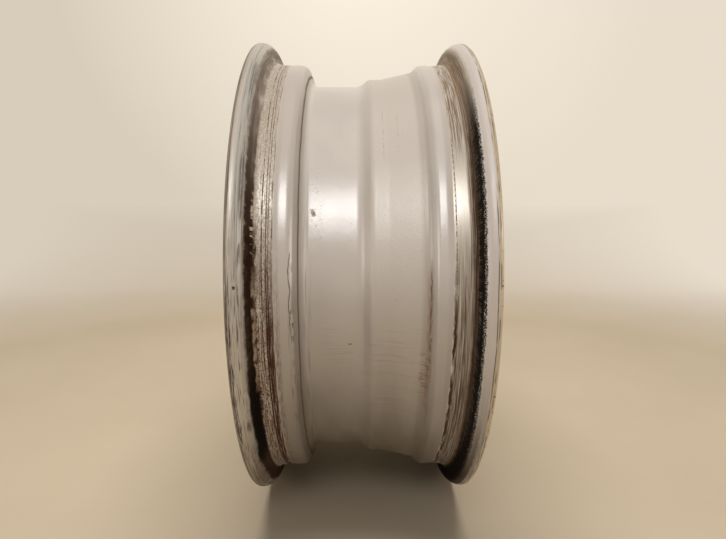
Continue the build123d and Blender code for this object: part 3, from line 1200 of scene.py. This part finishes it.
OUTER_SEAT_MARKS = (
    # Outer flange, from its tip inwards: oily brown edge, then bare turned metal with dark rings
    Mark("75695A", 0.75, (-89.5, -86.6), 0.5, None, (1.2, 30.0), (0.2, 0.5), 0.55, 0.3),
    Mark("2E241B", 0.85, (-89.5, -86.5), 0.4, None, (0.4, 40.0), (0.48, 0.58), 0.7, wander=0.3, seed=32),
    Mark("A89C8A", 0.6, (-86.6, -84.2), 0.5, None, (0.7, 40.0), (0.4, 0.6), 0.4, 0.5, seed=33),
    Mark("B4B1AC", 0.8, (-84.4, -77.2), 0.8, (30.0, 45.0, 25.0), (3.0, 60.0), (0.1, 0.4), 0.38, 0.4, seed=1),
    Mark("4A443A", 0.6, (-83.0, -76.2), 1.0, (34.0, 50.0, 20.0), (0.22, 45.0), (0.5, 0.6), 0.6, 0.3, seed=34),
    Mark("3A342E", 0.5, (-79.8, -77.0), 0.9, (26.0, 24.0, 10.0), (0.2, 22.0), (0.5, 0.6), 0.6, seed=67),
    Mark("2E2A29", 0.8, (-79.6, -76.0), 1.6, (-28.0, 20.0, 10.0), (0.35, 12.0), (0.36, 0.58), 0.7, seed=68),
    Mark("BFB3A4", 0.7, (-85.5, -77.5), 0.8, (-40.0, 42.0, 20.0), (2.0, 12.0), (0.2, 0.5), 0.5, 0.2, seed=35),
    Mark("4C3B2B", 0.75, (-86.5, -78.5), 0.6, (-22.0, 36.0, 10.0), (0.35, 16.0), (0.55, 0.64), 0.8, seed=36),
    Mark("5A4A38", 0.75, (-89.5, -77.0), 1.0, (-70.0, 36.0, 12.0), (0.6, 30.0), (0.2, 0.5), 0.6, 0.3,
         seed=74),
    Mark("33251A", 0.9, (-87.8, -84.8), 0.4, (-14.0, 18.0, 6.0), (0.6, 12.0), (0.48, 0.56), 0.8,
         wander=0.6, wander_mm=6.0, seed=2),
    Mark("1E1610", 0.9, (-83.1, -81.3), 0.2, (4.1, 0.35, 0.1), (1.2, 0.7), (0.4, 0.5), 0.8, seed=37),
    # Rubber of the tyre's bead, thick low down and torn away in flakes
    Mark("6B5A4A", 0.8, (-77.4, -72.8), 0.7, None, (0.8, 20.0), (0.2, 0.5), 0.7,
         wander=0.6, wander_mm=9.0, seed=3),
    Mark("3A281B", 0.98, (-76.9, -73.4), 0.35, (-30.0, 64.0, 14.0), (1.0, 6.0), (0.12, 0.26), 0.78,
         height=0.3, wander=0.5, wander_mm=5.0, seed=4),
    Mark("2C1D12", 0.98, (-76.0, -71.4), 0.35, (-6.0, 21.0, 2.0), (1.0, 5.0), (0.12, 0.26), 0.8,
         height=0.3, wander=1.0, wander_mm=6.0, seed=38),
    Mark("120B08", 0.98, (-77.6, -72.9), 0.5, (-28.0, 13.0, 3.0), (1.2, 9.0), (0.12, 0.3), 0.8,
         height=0.3, wander=0.6, wander_mm=9.0, seed=39),
    Mark("C6B3A2", 0.9, (-74.6, -72.0), 0.35, (17.0, 5.5, 2.0), (0.9, 3.0), (0.5, 0.56), 0.6,
         height=0.2, wander=0.7, wander_mm=5.0, seed=5),
    Mark("A8957F", 0.9, (-74.2, -71.6), 0.3, (-6.0, 11.0, 3.0), (1.4, 9.0), (0.4, 0.5), 0.65,
         wander=0.6, wander_mm=8.0, seed=42),
    # Outer bead seat: stained, speckled, with rust-brown rings in its scratches
    Mark("8D7860", 0.4, (-73.0, -60.8), 0.6, None, (1.1, 1.5), (0.46, 0.58), 0.6, 0.3, seed=8),
    Mark("3F2C1C", 0.85, (-73.0, -61.2), 0.6, (-24.0, 30.0, 16.0), (0.8, 1.9), (0.52, 0.6), 0.75, seed=43),
    Mark("6F543A", 0.45, (-72.5, -61.2), 0.8, None, (0.35, 16.0), (0.54, 0.64), 0.65, 0.2, seed=6),
    Mark("6A4226", 0.85, (-72.0, -60.0), 0.8, (-48.0, 56.0, 14.0), (0.5, 20.0), (0.44, 0.58), 0.7, seed=7),
    Mark("33200F", 0.9, (-67.9, -67.3), 0.2, None, (2.0, 9.0), (0.42, 0.52), 0.75, wander=0.2, seed=44),
    Mark("2A180A", 0.97, (-65.4, -64.5), 0.2, (-56.0, 66.0, 12.0), (1.6, 14.0), (0.28, 0.44), 0.75,
         wander=0.2, seed=9),
    Mark("2A180A", 0.95, (-63.8, -63.0), 0.2, (-56.0, 62.0, 12.0), (1.6, 14.0), (0.34, 0.5), 0.75,
         wander=0.2, seed=10),
    Mark("54442E", 0.85, (-65.2, -64.7), 0.15, (58.0, 50.0, 8.0), (1.0, 12.0), (0.34, 0.5), 0.7, seed=72),
    Mark("54442E", 0.85, (-63.6, -63.1), 0.15, (58.0, 50.0, 8.0), (1.0, 9.0), (0.38, 0.54), 0.7, seed=73),
    Mark("3F1F0B", 0.95, (-64.6, -60.0), 0.5, (-44.0, 46.0, 12.0), (0.6, 16.0), (0.38, 0.52), 0.75,
         wander=0.5, wander_mm=8.0, seed=45),
    Mark("5A3F26", 0.7, (-61.4, -60.2), 0.4, None, (2.0, 14.0), (0.42, 0.6), 0.75, wander=0.3, seed=11),
)

INNER_SEAT_MARKS = (
    # Inner bead seat, from the hump outwards
    Mark("2E1C0C", 0.97, (61.2, 63.4), 0.3, (-44.0, 48.0, 8.0), (2.0, 14.0), (0.3, 0.48), 0.75,
         wander=0.5, wander_mm=9.0, seed=12),
    Mark("3B2815", 0.8, (61.9, 62.5), 0.2, (20.0, 16.0, 4.0), (2.0, 2.2), (0.44, 0.54), 0.75, seed=69),
    Mark("4A3822", 0.85, (63.0, 77.0), 0.8, (66.0, 27.0, 8.0), (0.6, 30.0), (0.5, 0.6), 0.65, seed=71),
    Mark("6B5136", 0.8, (62.0, 70.0), 0.5, (52.0, 18.0, 6.0), (0.7, 16.0), (0.42, 0.54), 0.7,
         wander=0.6, wander_mm=14.0, seed=70),
    Mark("4A3620", 0.8, (60.6, 62.0), 0.3, (-40.0, 42.0, 12.0), (1.2, 8.0), (0.42, 0.54), 0.75,
         wander=0.4, wander_mm=6.0, seed=46),
    Mark("3D2B18", 0.85, (65.6, 66.4), 0.25, (-52.0, 56.0, 10.0), (1.5, 24.0), (0.36, 0.5), 0.75,
         wander=0.3, seed=47),
    Mark("3D2B18", 0.8, (68.0, 68.9), 0.25, (-52.0, 60.0, 10.0), (1.5, 20.0), (0.4, 0.52), 0.75,
         wander=0.3, seed=48),
    Mark("6E583C", 0.75, (62.5, 71.5), 0.8, (-42.0, 52.0, 9.0), (0.5, 30.0), (0.36, 0.58), 0.65, seed=13),
    Mark("4A3522", 0.8, (63.2, 72.0), 0.8, (-54.0, 58.0, 14.0), (0.5, 30.0), (0.49, 0.6), 0.65, seed=14),
    Mark("3E2F1C", 0.7, (61.6, 74.0), 0.8, (-48.0, 32.0, 12.0), (0.4, 26.0), (0.42, 0.58), 0.7, seed=77),
    Mark("76603F", 0.75, (70.6, 78.0), 1.5, (72.0, 28.0, 12.0), (0.8, 30.0), (0.3, 0.5), 0.6, 0.2, seed=49),
    Mark("6A5138", 0.85, (71.0, 76.0), 0.8, None, (0.45, 40.0), (0.3, 0.54), 0.7, wander=0.3, seed=15),
    Mark("3A2614", 0.95, (73.2, 77.2), 0.9, (-44.0, 86.0, 8.0), (0.8, 30.0), (0.22, 0.46), 0.7,
         wander=0.4, wander_mm=9.0, seed=52),
    Mark("15100B", 0.98, (76.0, 79.0), 0.35, (-44.0, 88.0, 8.0), (1.0, 4.0), (0.1, 0.24), 0.8,
         height=0.3, wander=0.5, wander_mm=1.6, seed=16),
    # Inner flange: pale rubbed band, then a tan edge with dark rings
    Mark("CBC3C0", 0.9, (79.0, 85.6), 0.3, None, (0.7, 2.0), (0.1, 0.6), 0.5, 0.3,
         wander=0.7, wander_mm=2.4, seed=17),
    Mark("E8E0D8", 0.85, (77.6, 79.6), 0.2, None, (0.8, 0.6), (0.56, 0.6), 0.6,
         wander=0.5, wander_mm=3.0, seed=54),
    Mark("120B07", 0.97, (74.6, 82.4), 0.5, (-58.0, 24.0, 12.0), (1.2, 6.0), (0.12, 0.28), 0.8,
         height=0.3, wander=0.5, wander_mm=4.0, seed=53),
    Mark("5A4A38", 0.65, (79.0, 86.0), 1.5, (-60.0, 40.0, 12.0), (0.6, 30.0), (0.1, 0.5), 0.6, 0.3, seed=75),
    Mark("C4B294", 0.8, (85.8, 89.5), 0.4, None, (1.0, 30.0), (0.2, 0.5), 0.5, 0.4, seed=18),
    Mark("4A3826", 0.85, (85.0, 85.7), 0.2, None, (1.0, 18.0), (0.44, 0.54), 0.7, wander=0.2, seed=19),
    Mark("5A4630", 0.8, (86.6, 87.3), 0.2, None, (1.0, 16.0), (0.48, 0.56), 0.7, wander=0.2, seed=55),
    Mark("4A3826", 0.8, (86.5, 89.5), 0.4, (4.0, 60.0, 8.0), (0.9, 3.0), (0.62, 0.68), 0.75, seed=56),
)

DROP_CENTRE_MARKS_AND_SHADE = (
    # Coarser, duller skin of the casting from the step up to the inner hump
    Mark("CEC7C1", 1.0, (3.0, 44.0), 3.0, None, (1.0, 1.2), (0.2, 0.5), 0.42, 0.6, height=0.1, seed=64),
    Mark("C6BFBA", 0.9, (-60.5, -47.5), 1.5, None, (9.0, 60.0), (-0.5, 0.4), 0.32, 0.6, seed=65),
    Mark("D2CBC5", 0.5, (-44.0, -39.5), 0.8, None, (9.0, 60.0), (-0.5, 0.4), 0.5, 0.2, seed=66),
    # Dirt in the groove beside each hump, and painted shade in the cove below the inner hump
    Mark("54402C", 0.85, (-45.1, -44.3), 0.25, None, (2.0, 30.0), (0.15, 0.42), 0.7, wander=0.15, seed=20),
    Mark("8A7A66", 0.2, (-46.4, -43.6), 0.9, None, (2.0, 30.0), (0.2, 0.5), 0.6, seed=57),
    Mark("4A3725", 0.75, (-50.2, -46.6), 0.8, (-1.0, 6.0, 4.0), (0.7, 6.0), (0.56, 0.62), 0.7, seed=21),
    Mark("54402C", 0.75, (-50.0, -49.3), 0.25, (3.0, 10.0, 3.0), (1.0, 9.0), (0.44, 0.54), 0.7,
         wander=0.7, wander_mm=12.0, seed=58),
    Mark("6B5238", 0.6, (-51.0, -46.0), 0.8, (-14.0, 15.0, 6.0), (0.45, 16.0), (0.5, 0.62), 0.7, seed=76),
    Mark("7F6F5D", 0.45, (-42.0, -37.0), 0.8, (-40.0, 60.0, 15.0), (0.7, 40.0), (0.5, 0.66), 0.6, seed=22),
    # Painted shade: a darker band all round in the hollow cove between the slope and the inner hump
    Mark("847566", 0.3, (40.5, 46.8), 1.5, None, (3.0, 60.0), (0.1, 0.4), 0.5, 0.5, seed=23),
    Mark("5C4229", 0.9, (45.5, 46.6), 0.35, (-3.0, 9.5, 3.0), (1.6, 9.0), (0.38, 0.52), 0.7,
         wander=0.5, wander_mm=8.0, seed=24),
    Mark("8B6B4A", 0.6, (43.6, 47.2), 0.9, (-12.0, 16.0, 6.0), (3.0, 10.0), (0.3, 0.6), 0.65, seed=59),
    Mark("7A5138", 0.6, (40.0, 46.5), 1.2, (-17.0, 5.0, 2.0), (7.0, 1.3), (0.5, 0.58), 0.65, seed=25),
    # Runs across the drop centre, dried on
    Mark("6A5A48", 0.16, (-29.0, -8.0), 2.5, (-15.0, 9.0, 3.0), (40.0, 1.6), (0.55, 0.68), 0.6, seed=26),
    Mark("6A5640", 0.17, (0.0, 41.0), 3.0, (-20.0, 12.0, 4.0), (40.0, 1.6), (0.53, 0.68), 0.6, seed=27),
    # Faint scuffs along the wheel
    Mark("8A7C6C", 0.45, (15.0, 15.6), 0.2, (42.0, 8.0, 2.0), (2.0, 4.0), (0.45, 0.55), 0.6, seed=60),
    Mark("8A7C6C", 0.4, (25.6, 26.1), 0.2, (42.0, 6.0, 2.0), (2.0, 3.0), (0.45, 0.55), 0.6, seed=61),
    Mark("8A7A66", 0.4, (-38.0, -28.0), 2.0, (24.0, 9.0, 4.0), (1.3, 1.5), (0.6, 0.66), 0.6, seed=62),
    # Spots
    Mark("877852", 0.85, (-36.4, -33.8), 0.6, (20.4, 0.7, 0.35), (1.6, 1.6), (0.3, 0.5), 0.6,
         wander=0.5, wander_mm=3.0, seed=28),
    Mark("4A3C30", 0.9, (-10.4, -8.2), 0.3, (-11.3, 0.14, 0.06), (4.0, 4.0), (0.1, 0.3), 0.6, seed=29),
    Mark("6B5A47", 0.6, (-45.0, 55.0), 2.0, None, (1.5, 1.8), (0.72, 0.76), 0.6, seed=30),
    # Rust-brown dust where the outer hump meets its seat
    Mark("7A5230", 0.6, (-60.6, -56.5), 0.8, (-34.0, 36.0, 12.0), (0.9, 6.0), (0.42, 0.6), 0.7, seed=63),
    # Brown film and painted shade: darker and browner low on the wheel as it stands
    Mark("5A4828", 0.78, (-60.0, 61.0), 1.0, (-82.0, 60.0, 30.0), (30.0, 90.0), (-0.6, 0.6), 0.5, 0.3,
         seed=31),
)

DUST_MARKS = (
    # Brake dust: a thin film in clouds, with dark specks of baked dust
    Mark("6B5A48", 0.42, grain=(14.0, 18.0), levels=(0.4, 0.8), roughness=0.7, seed=40),
    Mark("3F3226", 0.55, grain=(1.6, 2.0), levels=(0.62, 0.72), roughness=0.75, seed=41),
)

FACE_MARKS = (
    # Light wear: a faint dull film and a few dirty specks
    Mark("9A9186", 0.16, grain=(34.0, 30.0), levels=(0.42, 0.8), roughness=0.5, metallic=0.4, seed=50),
    Mark("5A4B3C", 0.5, grain=(1.5, 1.7), levels=(0.7, 0.75), roughness=0.7, seed=51),
)

FINISHES = {
    # Silver lacquer sprayed on the raw casting: a soft metallic sheen with a fine sparkle
    Zone.TYRE_SIDE: Finish("silver_lacquer_on_cast_aluminium", "CDC7C3", 0.55, 0.33, DROP_CENTRE_MARKS_AND_SHADE),
    # Turned on a lathe after painting: bright bare metal with fine rings, under marks of the tyre
    Zone.OUTER_SEAT: Finish("turned_aluminium_with_torn_rubber", "CDC5BB", 0.8, 0.36, OUTER_SEAT_MARKS),
    # The same turned metal on the car's side, with an even black line of rubber
    Zone.INNER_SEAT: Finish("turned_aluminium_with_rubber_line", "D0C8BE", 0.8, 0.32, INNER_SEAT_MARKS),
    # Silver under clear lacquer: the smoothest of the painted surfaces
    Zone.STYLED: Finish("silver_lacquer_styled_face", "C8C4BE", 0.75, 0.34, FACE_MARKS, coat=0.5,
                         grain_height=0.015, wave_height=0.03),
    # The same silver without the clear coat, dulled by brake dust
    Zone.BRAKE_SIDE: Finish("silver_lacquer_with_brake_dust", "AEA79F", 0.6, 0.50, DUST_MARKS),
    # Bare milled and bored seats: brighter and colder than the paint
    Zone.MACHINED: Finish("machined_aluminium", "B5B1AA", 0.95, 0.35, FACE_MARKS),
}


# The studio


def seen(tree: NodeTree) -> NodeSocket:
    """Tells the camera's look at a backdrop from the light that the backdrop throws.

    Args:
        tree: the backdrop's nodes.

    Returns:
        1 where the camera sees it, straight, in a reflection or through something, and else 0.
    """
    path = node(tree, "ShaderNodeLightPath").outputs
    shown = {0: path["Is Camera Ray"], 1: path["Is Glossy Ray"]}
    shown = {0: node(tree, MATH, shown, operation="MAXIMUM").outputs[0], 1: path["Is Transmission Ray"]}
    return node(tree, MATH, shown, operation="MAXIMUM").outputs[0]


class LampShape(Enum):
    """Outline of a lamp's shining face, by Blender's names."""

    BOX = "RECTANGLE"
    ROUND = "ELLIPSE"


@dataclass(frozen=True)
class Lamp:
    """A soft lamp that looks at the wheel. Lengths are in metres and its power is in watts.

    Surfaces show its reflection if it is mirrored.
    """

    name: str
    place: Vector
    size: Pair
    power: float
    colour: str = "FFFBF5"
    shape: LampShape = LampShape.BOX
    mirrored: bool = True

    def hang(self) -> None:
        """Puts the lamp into the scene."""
        data = bpy.data.lights.new(self.name, "AREA")
        data.shape = self.shape.value
        data.size, data.size_y = self.size
        data.energy = self.power
        data.color = linear(self.colour)[:3]
        lamp = bpy.data.objects.new(self.name, data)
        lamp.location = self.place
        lamp.rotation_euler = (-self.place).to_track_quat("-Z", "Y").to_euler()
        lamp.visible_glossy = self.mirrored
        lamp.visible_camera = False
        bpy.context.scene.collection.objects.link(lamp)


@dataclass(frozen=True)
class StudioPaper:
    """Uncoated paper: matt and pale with faint clouds of tone, so that nothing draws the eye.

    Near the wheel the lamps light it, and farther off it glows in set tones, with painted light
    in them: darker to the left, lighter to the right, and a painted pool of light on the wall.
    The fades are in metres: how far off the floor's own tone comes in, how far off the sky's
    takes over, from where to where the left tone gives way to the right one, and how far from
    a point on the wall at the pool's height the painted pool of light starts and is full.
    """

    floor_tones: tuple[str, str] = ("C4B49C", "D0C1A9")
    wall_tone: str = "DAD4C9"
    painted_light_far_tones: tuple[str, str] = ("D8CCBA", "E8DCCB")
    painted_spot_tone: str = "FBF0DE"
    roughness: float = 0.85
    cloud_mm: float = 1000 / 6
    floor_fade: Pair = (0.75, 1.5)
    sky_fade: Pair = (1.75, 2.15)
    painted_light_side_fade: Pair = (-0.6, 0.6)
    painted_spot_z: float = 0.8
    painted_spot_fade: Pair = (0.9, 0.15)

    def material(self, floor: float, bend: float, back: float) -> Material:
        """Builds the paper's material.

        Args:
            floor: height of the floor, in metres.
            bend: radius of the bend between floor and wall, in metres.
            back: place of the wall along X, in metres.

        Returns:
            The material.
        """
        made = bpy.data.materials.new("matt_studio_paper")
        made.use_nodes = True
        tree = made.node_tree
        tree.nodes.clear()
        local = node(tree, "ShaderNodeTexCoord").outputs["Object"]
        # Near the wheel: its own tones, for the lamps to light
        clouds = {"Vector": local, "Scale": 1 / (self.cloud_mm * MM), "Detail": 4.0}
        cloud = node(tree, NOISE, clouds).outputs["Fac"]
        parts = node(tree, "ShaderNodeSeparateXYZ", {0: local})
        wall = node(tree, RANGE, {0: parts.outputs["Z"], 1: floor, 2: floor + bend}).outputs[0]
        ground = {0: cloud, 6: linear(self.floor_tones[0]), 7: linear(self.floor_tones[1])}
        ground = node(tree, MIX, ground, data_type="RGBA").outputs[2]
        tones = {0: wall, 6: ground, 7: linear(self.wall_tone)}
        colour = node(tree, MIX, tones, data_type="RGBA").outputs[2]
        skin = {"Base Color": colour, "Roughness": self.roughness}
        paper = node(tree, "ShaderNodeBsdfPrincipled", skin).outputs[0]
        # Farther off: the tones that the camera sees, whatever the lamps do, with painted light in them
        away = node(tree, VECTOR, {0: local}, operation="LENGTH").outputs["Value"]
        middle = {0: local, 1: (back, 0.0, self.painted_spot_z)}
        middle = node(tree, VECTOR, middle, operation="DISTANCE").outputs["Value"]
        fades = (
            (away, self.floor_fade),
            (away, self.sky_fade),
            (parts.outputs["Y"], self.painted_light_side_fade),
            (middle, self.painted_spot_fade),
        )
        far, farther, across, painted_spot = (
            node(tree, RANGE, {0: value, 1: start, 2: end}).outputs[0] for value, (start, end) in fades
        )
        # Painted light: the far tones darken to the left and lighten to the right
        glow = {0: across, 6: linear(self.painted_light_far_tones[0]), 7: linear(self.painted_light_far_tones[1])}
        glow = node(tree, MIX, glow, data_type="RGBA").outputs[2]
        # The sky's tone far off, and a painted pool of light on the wall around a point at the pool's height
        for share, tone in ((farther, SKY_TONE), (painted_spot, self.painted_spot_tone)):
            glow = node(tree, MIX, {0: share, 6: glow, 7: linear(tone)}, data_type="RGBA").outputs[2]
        pale = node(tree, "ShaderNodeEmission", {"Color": glow, "Strength": 1.0}).outputs[0]
        faded = node(tree, MATH, {0: wall, 1: far}, operation="MAXIMUM").outputs[0]
        share = node(tree, MATH, {0: seen(tree), 1: faded}, operation="MULTIPLY").outputs[0]
        shader = node(tree, "ShaderNodeMixShader", {0: share, 1: paper, 2: pale}).outputs[0]
        node(tree, "ShaderNodeOutputMaterial", {"Surface": shader})
        return made


@dataclass
class Studio:
    """Pale paper sweep, soft lamps, sky and the camera.

    distance and side are the camera's place as seen from the wheel's middle, and elevation, yaw
    and aim_up turn its view, in degrees. back, bend, high, near and half are the paper's sizes:
    the wall's place, the radius of the bend, its top, its front edge and half its width.
    """

    wheel_r: float
    elevation: float = 8.0
    distance: float = 545.4
    side: float = -5.84
    yaw: float = 0.872
    aim_up: float = -0.47
    lens: float = 26.67
    sensor: float = 36.0
    back: float = -1150.0
    bend: float = 240.0
    bend_steps: int = 16
    high: float = 1900.0
    near: float = 2200.0
    half: float = 2600.0
    sky_strength: float = 0.08

    def paper(self) -> Object:
        """Builds the floor, which sweeps up into the wall behind the wheel.

        Returns:
            The sheet of paper.
        """
        floor, start = -self.wheel_r, self.back + self.bend
        line = [(self.near, floor), (start, floor)]
        line += arc((start, floor + self.bend), self.bend, -pi / 2, -pi, self.bend_steps)
        line.append((self.back, self.high))
        mesh = bmesh.new()
        sides = (-self.half, self.half)
        rows = [[mesh.verts.new((x * MM, y * MM, z * MM)) for y in sides] for x, z in line]
        for low, up in zip(rows, rows[1:]):
            mesh.faces.new((low[0], low[1], up[1], up[0])).smooth = True
        bmesh.ops.recalc_face_normals(mesh, faces=mesh.faces)
        sheet = to_object("studio_sheet", [mesh])
        sheet.data.materials.append(StudioPaper().material(floor * MM, self.bend * MM, self.back * MM))
        return sheet

    def in_view(self, forward: float, side: float, up: float) -> Vector:
        """A point given from the wheel's middle towards the camera, to the right and up."""
        turn = Matrix.Rotation(-radians(self.elevation), 3, "Y")
        return turn @ Vector((forward, side, up)) * MM

    def camera(self) -> None:
        """Sets the camera at the photograph's angle."""
        data = bpy.data.cameras.new("camera")
        data.lens = self.lens
        data.sensor_width = self.sensor
        data.clip_start = 10 * MM
        camera = bpy.data.objects.new("camera", data)
        bpy.context.scene.collection.objects.link(camera)
        yaw, pitch, far = radians(self.yaw), radians(self.aim_up), 1000.0
        aim = self.in_view(-far * cos(yaw) * cos(pitch), far * sin(yaw) * cos(pitch), far * sin(pitch))
        camera.location = self.in_view(self.distance, self.side, 0)
        camera.rotation_euler = aim.to_track_quat("-Z", "Y").to_euler()
        bpy.context.scene.camera = camera

    def world(self) -> None:
        """A faint soft sky, which looks pale to the camera and in reflections."""
        sky = bpy.data.worlds.new("soft_sky")
        sky.use_nodes = True
        tree = sky.node_tree
        tree.nodes.clear()
        faint, pale = (
            node(tree, "ShaderNodeBackground", {"Color": linear(tone), "Strength": strength}).outputs[0]
            for tone, strength in (("FFFAF2", self.sky_strength), (SKY_TONE, 1.0))
        )
        sky_light = node(tree, "ShaderNodeMixShader", {0: seen(tree), 1: faint, 2: pale}).outputs[0]
        node(tree, "ShaderNodeOutputWorld", {"Surface": sky_light})
        bpy.context.scene.world = sky

    def build(self) -> None:
        """Sets up paper, camera, lamps and sky."""
        self.paper()
        self.camera()
        key = self.in_view(1210.0, -95.0, 700.0)
        # The key makes the highlights, ceiling and front fill up the shade, and the flanks of the
        # flanges and humps mirror left and right
        for lamp in (
            Lamp("key", key, (0.46, 0.46), 2.25, "F4F9FF", LampShape.ROUND),
            Lamp("ceiling", Vector((0.1, 0.0, 1.6)), (1.1, 1.1), 28.0, mirrored=False),
            Lamp("front", Vector((2.2, 0.0, -0.09)), (2.4, 0.22), 8.0, "FFFAF3", mirrored=False),
            Lamp("left", Vector((0.6, -1.9, 0.3)), (2.0, 0.9), 4.8),
            Lamp("right", Vector((0.6, 1.9, 0.3)), (2.0, 0.9), 5.6),
        ):
            lamp.hang()
        self.world()
        bpy.context.scene.view_settings.view_transform = "Standard"


def main() -> None:
    """Builds the wheel, dresses it and sets up the studio."""
    logging.basicConfig(level=logging.INFO, format="%(name)s: %(message)s")
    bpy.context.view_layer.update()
    barrel = Barrel()
    face = StyledFace(barrel)
    hub = Hub(face)
    wheel = Wheel(barrel, face, hub, ValveHole(barrel)).build()
    for zone in Zone:
        wheel.data.materials.append(FINISHES[zone].material())
    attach(wheel, "root")
    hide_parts("wheel_rim")
    LOG.info("wheel casting: %d faces", len(wheel.data.polygons))
    Studio(wheel_r=barrel.flange_r).build()
    LOG.info("studio: paper, camera and lamps")


if __name__ == "__main__":
    main()
